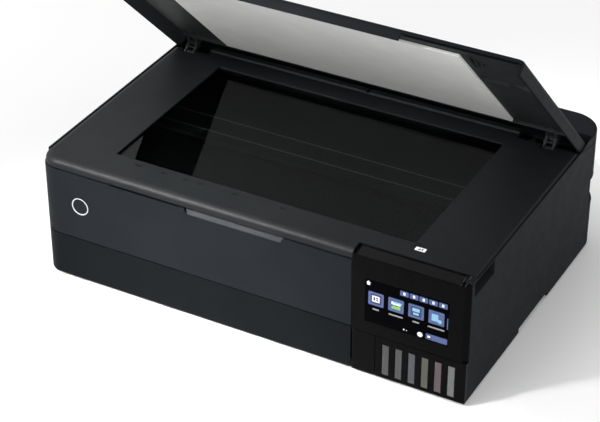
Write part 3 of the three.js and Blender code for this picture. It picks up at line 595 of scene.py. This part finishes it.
def build_rear():
    start = BACK - CORNER_REAR
    shell = cut(prism(rear_outline(0, start), BASE_Z, COVER_Z - GAP),
                prism(rear_outline(WALL, start - 5), BASE_Z - 1, COVER_Z + 1))
    # the shallow groove round the right rear corner has sloped shelves
    z0, z1 = REAR_GROOVE_Z
    depth, slope = 6.5, 3.0
    keep = box(REAR_GROOVE_X - 2, 300, start - 1, 200, z0 - 2, z1 + 2)
    shelf = meet(prism(rear_outline(0.05, start), z0 - 2, z1 + 2), copied(keep))
    hollow = prism(rear_outline(depth + 2, start - 5), z0 - 3, z1 + 3)
    waist = ((0.2, z0 - 0.1), (depth, z0 + slope), (depth, z1 - slope), (0.2, z1 + 0.1))
    recess = cut(box(REAR_GROOVE_X, 300, start - 1, 200, z0, z1),
                 skin([level(rear_outline(inset, start - 3), z) for inset, z in waist]))
    shell = join(cut(shell, keep), cut(shelf, hollow, recess))
    bulge = bar([(BACK - 1, 56), (REARMOST - 3, 56), (REARMOST, 60), (REARMOST, 108), (REARMOST - 4, 114),
                 (BACK - 1, 114)], -190, 105)
    pocket = bar([(BACK - 4, 59), (REARMOST - 4, 59), (REARMOST - WALL, 62), (REARMOST - WALL, 107),
                  (REARMOST - 6, 111), (BACK - 4, 111)], -187.5, 102.5)
    inlet = box(INLET_X - 16.4, INLET_X + 16.4, 170, 190, 19.6, 46.4)
    ports = box(118.6, 173.4, 170, 190, 79.6, 102.4)
    shell = cut(join(shell, bulge), pocket, inlet, ports)
    # cooling slots and a lower seam across the back
    slots = [box(x, x + 22, BACK - 0.9, 190, z, z + 2.2) for x in range(-120, 31, 30) for z in (30, 36, 42)]
    seam = cut(prism(rear_outline(-1, start - 1), SEAM_LOW - 3.2, SEAM_LOW - 2.6),
               prism(rear_outline(0.5, start - 3), 40, 60))
    shell = cut(shell, *slots, seam)
    piece("rear_corner_casing", shell, casing, "root", ["rear_casing"], 0.4)

    cover = cut(prism(rear_outline(0, DECK_FRONT), COVER_Z, TOP),
                prism(rear_outline(WALL, DECK_FRONT + WALL), COVER_Z - 1, TOP - WALL),
                box(*REAR_SLOT, 130, 160))
    for i, x in enumerate(LIFT_ARM_X):
        outer = -1 if i == 0 else 1
        ear = x + outer * 5
        pin = (ear, x + 3.5) if outer < 0 else (x - 3.5, ear)
        cover = join(cover, box(ear - 1.5, ear + 1.5, 145, 155, COVER_Z, TOP - 1),
                     rod("x", *pin, LIFT_Y, LIFT_Z, 2, 24))
    piece("rear_deck_cover", cover, casing, "root", ["rear_top_cover"], 0.7, 3)


build_front()
build_sides()
build_rear()


# ---- scanner unit --------------------------------------------------------------------------------
def build_scanner():
    skirt = SEAM_TOP + 2 * GAP
    inset_min, inset_max = 1.1, 11.0
    low = 145.0
    profile = [(inset_min, skirt)] + [(inset_min + (inset_max - inset_min) * a, low + (TOP - low) * b)
                                      for a, b in quarter(12)]

    def edge(inset):
        return plan(-HALF_W + inset, HALF_W - 0.6 - inset * 0.35, FRONT + inset, SCANNER_REAR,
                    (CORNER_FRONT - inset * 0.5, 1, 1, 1), 24)

    outer = skin([level(edge(inset), z) for inset, z in profile])
    under = [(WALL + 0.6, skirt - 1), (WALL + 0.6, low), (4.5, 147.6), (8, 149.2), (12, TOP - DECK_T)]
    hollow = skin([level(plan(-HALF_W + inset, HALF_W + 5, FRONT + inset, SCANNER_REAR - 2.4,
                              (CORNER_FRONT - inset * 0.5, 1, 1, 1), 24), z) for inset, z in under])
    side_walls = (box(250.5, FAR, -200, 200, 120, SIDE_TOP + GAP),
                  box(-FAR, -252, FRONT + CORNER_FRONT, 200, 120, SIDE_TOP + GAP))
    wells = (box(BAR[1] + 1, FAR, WELL_Y, 200, 120, 160), box(-FAR, BAR[0] - 1, WELL_Y, 200, 120, 160))
    deck = cut(outer, hollow, box(PANEL_LEFT - GAP, FAR, -200, SCANNER_FRONT_RIGHT, 120, 160), *side_walls,
               *wells, box(*WINDOW, 120, 160), *[box(x - 8, x + 8, 90, 120, 120, 160) for x in HINGE_X])
    piece("scanner_deck", deck, casing_top, "scanner", ["scanner_frame", "scanner_front_rim"], 0.35)

    ledge = bar([(103.2, TOP), (112.5, TOP), (112.2, 155.3), (104.6, 155.3)], BAR[0], BAR[1])
    ledge = cut(ledge, box(-4.5, -1, 100, 130, TOP + 1, 160),
                bar([(109.0, 154.6), (109.8, 154.6), (109.8, 157), (109.0, 157)], BAR[0] + 2, BAR[1] - 2))
    piece("scanner_rear_ledge", ledge, casing_top, "scanner", ["scanner_ledge"], 0.35)

    # printed marks of the paper sizes along the front edge of the glass
    marks = []
    for x, wide in SIZE_MARKS:
        marks += [box(x - wide, x - 0.4, -156.6, -153.0, TOP, TOP + INK),
                  prism([(x + 0.4, -156.6), (x + wide, -154.8), (x + 0.4, -152.4)], TOP, TOP + INK)]
    marks.append(prism([(179.5, -150.5), (184, -143.5), (187.5, -146.8)], TOP, TOP + INK))
    piece("scanner_size_marks", join(marks[0], *marks[1:]), print_dark, "scanner", edge=0)

    # two rails of the scanning head, seen through the glass
    rails = join(*[box(-236, 240, y, y + 2, 120.6, 122.6) for y in (15.2, -13.6)])
    piece("scanner_guide_rails", rails, rail_grey, "scanner", edge=0.3)

    pane = box(WINDOW[0] - 5, WINDOW[1] + 5, WINDOW[2] - 5, WINDOW[3] + 5, 147.2, TOP - DECK_T - GAP)
    piece("scanner_glass_plate", pane, glass, "scanner", ["scanner_glass"], 0.3)


build_scanner()


# ---- lid -----------------------------------------------------------------------------------------
def build_lid():
    def ring(inset, rear, z, left=14.0, right=5.0):
        radii = (left, right, 10, 10)
        return level(plan(-LID_HALF + inset, LID_HALF - inset, -LID_FRONT + inset, -rear, radii, 16), z)

    crown = [(4.4 * a, 12.2 + (LID_TOP - 12.6) * b) for a, b in quarter(8)]
    outer = skin([ring(0.8, LID_REAR + 0.8, LID_RIM), ring(0, LID_REAR, LID_RIM + 0.8)]
                 + [ring(i, LID_REAR + i * 1.25, z) for i, z in crown])
    inner = LID_REAR + LID_SIDE
    hollow = skin([ring(LID_SIDE, inner, LID_RIM - 1, 11.6, 3.5), ring(LID_SIDE, inner, 12.4, 11.6, 3.5),
                   ring(5.0, LID_REAR + 6.4, 15.5, 9, 3)])
    inside_x = LID_HALF - LID_SIDE
    front_edge = box(-inside_x, inside_x, -LID_FRONT - 2, -LID_FRONT + 4, 0, 4.2)
    rear_edge = box(-FAR, FAR, 3, 20, 0, 8.5)
    grip = box(126, inside_x, -LID_FRONT - 2, -LID_FRONT + 10, 0, 12.4)
    shell = cut(outer, hollow, front_edge, rear_edge, grip)
    piece("lid_shell", lid_place(shell), casing, "lid", ["lid_top_shell"], 0.55)

    # the underside, with a lip behind the mat, and a rib, a wedge and small fins by the right wall
    tray = box(-256.6, 256.6, -281.4, -30.0, TRAY_LOW, TRAY_HIGH)
    tray = join(tray, box(-249, 249, -30.2, -28.8, 10.0, TRAY_HIGH),
                box(186.4, 218, -187.5, -183.5, 10.4, 14.6), rod("z", 10.4, 14.6, 218, -185.5, 2, 24),
                hull([(220, -182, 14.4), (243, -189, 14.4), (243, -163, 14.4), (220, -179, 14.4),
                      (226, -180, 12.6), (243, -186, 10.6), (243, -165, 10.6)]),
                box(191, 207, -238.5, -237, 11.5, 14.6), box(192, 193.4, -256, -224, 11, 14.6),
                box(197, 198.4, -250, -228, 11, 14.6), box(202, 203.4, -246, -232, 12, 14.6))
    # lighter sloped sheet along the left wall's inside, in the tray's plastic: painted light on a face that
    # lies in shade
    ends = (-281, -8)
    slope = ((-257, 2.0), (-257, 15.0), (-256.4, 2.0), (-247, 14.6))
    tray = join(tray, box(-257.0, -246.5, *ends, 14.2, 15.2),
                hull([(x, y, z) for x, z in slope for y in ends]))
    for x in HINGE_X:
        for side in (-5.4, 5.4):
            x0, x1 = x + side - 1.6, x + side + 1.6
            arm = join(rod("x", x0, x1, PIN_Y, PIN_Z, 4.6, 40),
                       bar([(PIN_Y - 3.4, PIN_Z), (PIN_Y + 3.4, PIN_Z), (PIN_Y + 4, TRAY_HIGH),
                            (-40, TRAY_HIGH), (-40, 13.4), (PIN_Y - 12, 13.0), (PIN_Y - 4, 8)], x0, x1))
            tray = join(tray, cut(arm, rod("x", x0 - 1, x1 + 1, PIN_Y, PIN_Z, 2.8, 32)))
        tray = join(tray, box(x - 5, x + 5, PIN_Y - 1.5, PIN_Y + 1.5, 6, TRAY_HIGH),
                    *[rod("x", x - 7.6, x + 7.6, PIN_Y - 2, z, 1.1, 20) for z in (2.5, 8.5)])
    piece("lid_inner_tray", lid_place(tray), lid_inner, "lid", ["lid_underside"], 0.3)
    # near-black block at the back of the grip recess: painted shade
    recess = box(126.3, 257.0, -283.3, -274.5, 12.5, 14.0)
    piece("lid_grip_recess_shade_block", lid_place(recess), recess_shade_look, "lid", edge=0.2)
    mat = box(-184, 182, -254.7, -31, 10.4, 13.9)
    piece("lid_document_mat", lid_place(mat), white_mat, "lid", ["lid_pad"], 0.6, 3)


build_lid()


# ---- control panel, card door and ink unit -------------------------------------------------------
def build_control_panel():
    right = HALF_W - 0.1
    profile = [(FRONT, PANEL_BOTTOM), (PANEL_BACK, PANEL_BOTTOM), (PANEL_BACK, 151),
               (PANEL_LIP, PANEL_REAR_Z), (FRONT, PANEL_FRONT_Z)]
    hollow = [(FRONT + 3.5, PANEL_BOTTOM + 2), (PANEL_BACK + 5, PANEL_BOTTOM + 2), (PANEL_BACK + 5, 150.8),
              (PANEL_LIP, 150.8), (FRONT + 3.5, 147.6)]
    shell = cut(bar(profile, PANEL_LEFT, right), bar(hollow, PANEL_LEFT + 2, right - 2))
    bevel = prism([(254.9, FRONT - 1), (262, FRONT - 1), (262, -184.0), (261.4, -184.0)], 50, 160)
    # at the outer end only the face stands in front of the side wall
    shell = cut(shell, bevel, box(SCREEN[0], SCREEN[1], FRONT - 1, FRONT + 2, SCREEN[2], SCREEN[3]),
                box(PANEL_END, 262, -183.5, -170, 50, 160))
    shell = join(shell, box(PANEL_END - 2, PANEL_END, -186.5, PANEL_BACK, PANEL_BOTTOM, 150.3))
    for x in PANEL_PIN_X:
        lugs = [box(x0, x0 + 2.4, TILT_Y - 2, TILT_Y + 2, 145.6, 150.2) for x0 in (x - 5, x + 2.6)]
        shell = join(shell, *lugs, rod("x", x - 4, x + 4, TILT_Y, TILT_Z, 0.8, 16))
    # rounded upper left corner, and the fall at the upper right one
    r = 4.2
    z = 150.6 - r
    corner = cut(box(PANEL_LEFT - 1, PANEL_LEFT + r, -195, -160, z, 160),
                 rod("y", -200, -150, PANEL_LEFT + r, z, r, 48))
    slope = ((255.5, 140), (255.5, 152.5), (263.5, 140), (263.5, 148.4))
    below = hull([(x, y, z) for x, z in slope for y in (-200, -150)])
    fall = cut(box(255.6, 263, -195, -160, 147.6, 160), below)
    shell = cut(shell, corner, fall)
    piece("touch_panel_housing", shell, panel_gloss, "panel", ["control_panel"], 0.5, 3)

    def on_slope(x0, x1, y0, y1, thick):
        """Thin plate lying on the sloped top of the housing."""
        tilt = (PANEL_REAR_Z - PANEL_FRONT_Z) / (PANEL_LIP - FRONT)
        z0, z1 = [PANEL_FRONT_Z + (y - FRONT) * tilt for y in (y0, y1)]
        return bar([(y0, z0 - 0.2), (y1, z1 - 0.2), (y1, z1 + thick), (y0, z0 + thick)], x0, x1)

    strip = on_slope(PANEL_LEFT + 4.5, 249.6, FRONT + 1.2, PANEL_BACK - 2.4, 0.14)
    piece("panel_top_strip", strip, panel_top, "panel", edge=0.15)
    # thin light lines on the panel's corner edges: painted highlights
    lines = join(*[on_slope(*line, FRONT + 0.8, end, 0.18)
                   for line, end in zip(CORNER_HIGHLIGHTS, (PANEL_BACK - 2.4, -184.0))])
    piece("panel_corner_highlight_lines", lines, edge_highlight_look, "panel", edge=0.1)


def build_door_and_ink():
    edge = PANEL_LEFT + 0.2
    chamfer = prism([(edge - 1, FRONT - 1), (edge + 1.6, FRONT - 1), (edge + 1.6, FRONT),
                     (edge, FRONT + 1.6), (edge - 1, FRONT + 1.6)], 0, 60)
    door = cut(box(edge, 157.3, FRONT, FRONT + WALL, BASE_Z, PANEL_BOTTOM - GAP), chamfer)
    for z in ((8, 11), (45, 48)):
        door = join(door, box(131.4, 134, FRONT + 2, -185.1, *z))
    for z in ((10.5, 13), (43, 46)):
        door = join(door, rod("z", *z, DOOR_X, DOOR_Y, 0.9, 20))
    piece("card_slot_door", door, panel_gloss, "door", ["card_door"], 0.4)

    fascia = join(box(157.9, HALF_W, FRONT, FRONT + WALL, BASE_Z, PANEL_BOTTOM - GAP),
                  box(HALF_W - WALL, HALF_W, FRONT, -183.5, BASE_Z, PANEL_BOTTOM - GAP))
    profile = [(-186.4, 6.3), (-98, 6.3), (-98, 84), (-165, 84), (-165, 50), (-186.4, 50)]
    half = WINDOW_PITCH / 2 - 0.5
    for i, look in enumerate(ink_looks):
        x0 = WINDOW_FIRST + i * WINDOW_PITCH
        x1 = x0 + WINDOW_W
        mid = x0 + WINDOW_W / 2
        fascia = cut(fascia, box(x0, x1, FRONT - 1, FRONT + WALL + 1, *WINDOW_Z))
        pane = box(x0 + GAP, x1 - GAP, FRONT + 0.5, -186, WINDOW_Z[0] + GAP, WINDOW_Z[1] - GAP)
        tank = join(bar(profile, mid - half, mid + half), pane, rod("z", 83, 88, mid, -130, 4.5, 32))
        node = "ink_tank_%d" % (i + 1)
        piece("ink_tank_body_%d" % (i + 1), tank, look, "root", [node], 0.3)
    piece("ink_window_fascia", fascia, panel_gloss, "root", ["ink_fascia"], 0.45)


build_control_panel()
build_door_and_ink()


# ---- touch screen --------------------------------------------------------------------------------
def flat_shape(outlines, y):
    """Thin plates in the panel's plane, from outlines given in (x, z)."""
    verts, faces = [], []
    for points in outlines:
        base = len(verts)
        count = len(points)
        verts += [(x, y, z) for x, z in points] + [(x, y - PLATE_T, z) for x, z in points]
        faces.append(tuple(base + i for i in reversed(range(count))))
        faces.append(tuple(base + count + i for i in range(count)))
        for i in range(count):
            j = (i + 1) % count
            faces.append((base + i, base + j, base + count + j, base + count + i))
    shape = solid(verts, faces)
    shape.data.transform(Matrix.Scale(MM, 4))
    return shape


def plate(name, outlines, y, look):
    shape = flat_shape(outlines, y)
    bm = bmesh.new()
    bm.from_mesh(shape.data)
    bmesh.ops.recalc_face_normals(bm, faces=bm.faces)
    bm.to_mesh(shape.data)
    bm.free()
    shape.name = name
    shape.data.name = name
    shape.data.materials.append(look)
    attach(shape, "panel")
    return shape


def rect(x, z, w, h, r=0.0):
    """Outline of a rectangle by its lower left corner and size, with rounded corners."""
    return plan(x, x + w, z, z + h, (r, r, r, r), 4)


def build_screen():
    x0, x1, z0, z1 = SCREEN
    screen_look = plastic("screen_glass", (2, 2, 3), (3, 3, 4), (0.04, 0.07), 1.5, 0.001, 0.01, 0.05)
    face = box(x0 + GAP, x1 - GAP, FRONT + 0.2, FRONT + 1.7, z0 + GAP, z1 - GAP)
    piece("touch_screen_glass", face, screen_look, "panel", ["touch_screen"], 0.15)
    tile = glow("screen_tile", (74, 94, 148), 0.62)
    tile_dark = glow("screen_tile_shade", (42, 56, 104), 0.6)
    white = glow("screen_white", (225, 232, 240), 0.95)
    cyan = glow("screen_cyan", (126, 178, 206), 0.9)
    green = glow("screen_green", (120, 182, 84), 0.9)
    # four tiles in a row, a narrow tab at the right edge, and a bar of buttons above and below
    y = face_y = FRONT + 0.19
    w, h = 17.6, 16.6
    base = z0 + 22.9
    tiles = [x0 + 3.6 + i * 22.9 for i in range(4)]
    plate("screen_tiles", [rect(x, base, w, h, 1.2) for x in tiles]
          + [rect(x0 + 39.6 + i * 10.9, z1 - 8.2, 9.6, 6.2, 0.8) for i in range(5)]
          + [rect(x1 - 25.0, z0 + 1.6, 24.0, 7.0, 0.9), rect(x1 - 1.9, z0 + 21, 1.1, 14)], y, tile)
    y -= PLATE_STEP
    plate("screen_tile_wells",
          [rect(x + 2.6, base + 2.4, w - 5.2, h - 4.8, 1.0) for x in (tiles[0], tiles[2])]
          + [rect(x1 - 24.1, z0 + 2.4, 5.4, 5.2, 0.6)], y, tile_dark)
    y -= PLATE_STEP
    house = ((1.0, 4.6), (3.6, 1.8), (6.2, 4.6), (5.3, 4.6), (5.3, 7.2), (1.9, 7.2), (1.9, 4.6))
    plate("screen_marks_white", [rect(tiles[0] + 4.4, base + 4.6, 8.6, 7.6, 0.6),
                                 rect(tiles[1] + 3.6, base + 8.6, 10.4, 3.6, 0.4),
                                 [(x0 + a, z1 - b) for a, b in house],
                                 circle(x1 - 31.6, z0 + 4.4, 3.0, 28), circle(x0 + 45.0, z0 + 4.2, 0.9, 12),
                                 circle(x0 + 48.2, z0 + 4.0, 0.5, 12), rect(x1 - 23.1, z0 + 3.8, 3.2, 2.6, 0.3)]
          + [rect(x0 + 43.2 + i * 10.9, z1 - 6.8, 2.4, 3.4, 0.3) for i in range(5)], y, white)
    plate("screen_marks_cyan", [rect(tiles[2] + 4.6, base + 8.2, 8.2, 4.2, 0.4),
                                rect(tiles[2] + 5.6, base + 4.2, 6.2, 2.6, 0.3),
                                rect(tiles[3] + 3.4, base + 4.0, 7.4, 8.6, 0.5),
                                circle(tiles[3] + 12.6, base + 4.9, 2.4, 20),
                                rect(tiles[1] + 5.4, base + 10.6, 10.0, 2.0, 0.3)], y, cyan)
    hills = ((3.8, 3.6), (13.8, 3.6), (13.8, 7.0), (11.4, 8.6), (9.0, 6.4), (6.8, 8.0), (3.8, 5.4))
    plate("screen_marks_green", [[(tiles[1] + a, base + b) for a, b in hills]], y, green)
    y -= PLATE_STEP
    plate("screen_marks_inner", [rect(tiles[0] + 6.0, base + 6.2, 1.8, 4.4, 0.2),
                                 rect(tiles[0] + 9.0, base + 6.2, 2.4, 1.6, 0.2),
                                 rect(tiles[0] + 9.0, base + 8.8, 2.4, 1.8, 0.2)], y, tile_dark)
    small = glow("screen_caption", (150, 152, 156), 0.7)
    plate("screen_captions",
          [rect(x + w / 2 - n / 2, base - 5.6, n, 1.7, 0.5) for x, n in zip(tiles, (7.4, 16.0, 7.4, 18.6))],
          face_y, small)


build_screen()


# ---- the other parts keep their own shapes, with rounded edges and finished materials ------------
for node in ("scanner_base", "scan_carriage", "paper_chute", "cassette_tray", "cassette_guide_left",
             "cassette_guide_right", "mid_frame", "output_tray", "paper_stop", "ink_tank_cover",
             "right_front_frame", "platen", "print_carriage", "maintenance_station", "maintenance_box",
             "power_inlet", "port_block", "paper_support"):
    refined(node, inner, 0.3)
refined("rear_feed_cover", casing, 0.35)
refined("base_pan", inner, 0.25)
for node in ("carriage_rail", "motor_pulley", "idler_pulley", "carriage_motor", "power_supply"):
    refined(node, steel, 0.25)
for node in ("foot_front_left", "foot_front_right", "foot_rear_left", "foot_rear_right", "ink_caps",
             "ink_tube_ribbon", "timing_belt", "feed_roller", "eject_roller"):
    refined(node, rubber, 0.3)
refined("logic_board", board, 0.15)

# white mark that shows the corner to lay a page against
mark = plastic("corner_mark_print", (214, 216, 216), (226, 227, 226), (0.4, 0.5), 0.9, 0.01)
ink = (TOP + 0.06, TOP + 0.1)
patch = box(183.6, 195.2, -157.4, -151.2, TOP, ink[0])
piece("corner_mark", patch, mark, "scanner", edge=0)
arrow = join(prism([(186.4, -156.0), (188.4, -152.8), (190.2, -155.6)], *ink),
             box(190.6, 192.2, -155.8, -152.6, *ink))
piece("corner_mark_arrow", arrow, print_dark, "scanner", edge=0)


# ---- floor, light and camera ---------------------------------------------------------------------
FLOOR_HALF, FLOOR_Z = 9.0, -0.0004
WORLD_LIGHT = 0.73
# name, place, the point it faces, width and height in metres, watts, spread in degrees
LIGHTS = (("key", (-2.0, -1.35, 2.6), (0.0, 0.0, 0.1), (3.4, 3.4), 66, 180),
          ("near", (-0.66, -0.95, 1.09), (-0.10, -0.18, 0.16), (0.36, 0.36), 1.5, 22),
          ("fill", (1.4, -1.3, 0.5), (0.0, 0.0, 0.2), (1.2, 0.9), 8, 180))
# the camera that the photo was measured with: focal length in pixels, place in metres, angles in degrees
PHOTO_WIDTH, FOCAL, SENSOR = 600, 2019.02, 36.0
CAMERA_PLACE = (0.89556, -1.70886, 1.31349)
CAMERA_YAW, CAMERA_PITCH = -28.567, -33.191


def build_stage():
    look, nodes, links, shader = new_look("floor_paper")
    mottle = noise(nodes, links, 2.5, 3)
    mix = spread(nodes, links, mottle.outputs["Fac"], 0, 1)
    paper = tint(nodes, links, mix, (0.93, 0.93, 0.93, 1), (0.95, 0.95, 0.95, 1))
    links.new(paper, shader.inputs["Base Color"])
    shader.inputs["Roughness"].default_value = 0.75
    shader.inputs["Specular IOR Level"].default_value = 0.2
    mesh = bpy.data.meshes.new("floor")
    corners = ((-1, -1), (1, -1), (1, 1), (-1, 1))
    mesh.from_pydata([(x * FLOOR_HALF, y * FLOOR_HALF, 0) for x, y in corners], [], [(0, 1, 2, 3)])
    floor = bpy.data.objects.new("floor", mesh)
    bpy.context.scene.collection.objects.link(floor)
    floor.location.z = FLOOR_Z
    mesh.materials.append(look)


def area_light(name, place, target, size, power, spread_degrees):
    data = bpy.data.lights.new(name, "AREA")
    data.shape = "RECTANGLE"
    data.size, data.size_y = size
    data.energy = power
    data.spread = math.radians(spread_degrees)
    light = bpy.data.objects.new(name, data)
    light.location = place
    light.visible_camera = False
    light.rotation_euler = (Vector(target) - Vector(place)).to_track_quat("-Z", "Y").to_euler()
    bpy.context.scene.collection.objects.link(light)


def build_light():
    world = bpy.data.worlds.new("studio")
    world.use_nodes = True
    background = world.node_tree.nodes["Background"]
    background.inputs["Color"].default_value = (1.0, 1.0, 1.0, 1.0)
    background.inputs["Strength"].default_value = WORLD_LIGHT
    bpy.context.scene.world = world
    for light in LIGHTS:
        area_light(*light)
    bpy.context.scene.view_settings.view_transform = "Standard"


def build_camera():
    data = bpy.data.cameras.new("camera")
    data.sensor_width = SENSOR
    data.lens = FOCAL * SENSOR / PHOTO_WIDTH
    data.clip_end = 50
    camera = bpy.data.objects.new("camera", data)
    yaw, pitch = math.radians(CAMERA_YAW), math.radians(CAMERA_PITCH)
    forward = Vector((math.sin(-yaw) * -math.cos(pitch), math.cos(yaw) * math.cos(pitch), math.sin(pitch)))
    camera.location = CAMERA_PLACE
    camera.rotation_euler = forward.to_track_quat("-Z", "Y").to_euler()
    bpy.context.scene.collection.objects.link(camera)
    bpy.context.scene.camera = camera


build_stage()
build_light()
build_camera()
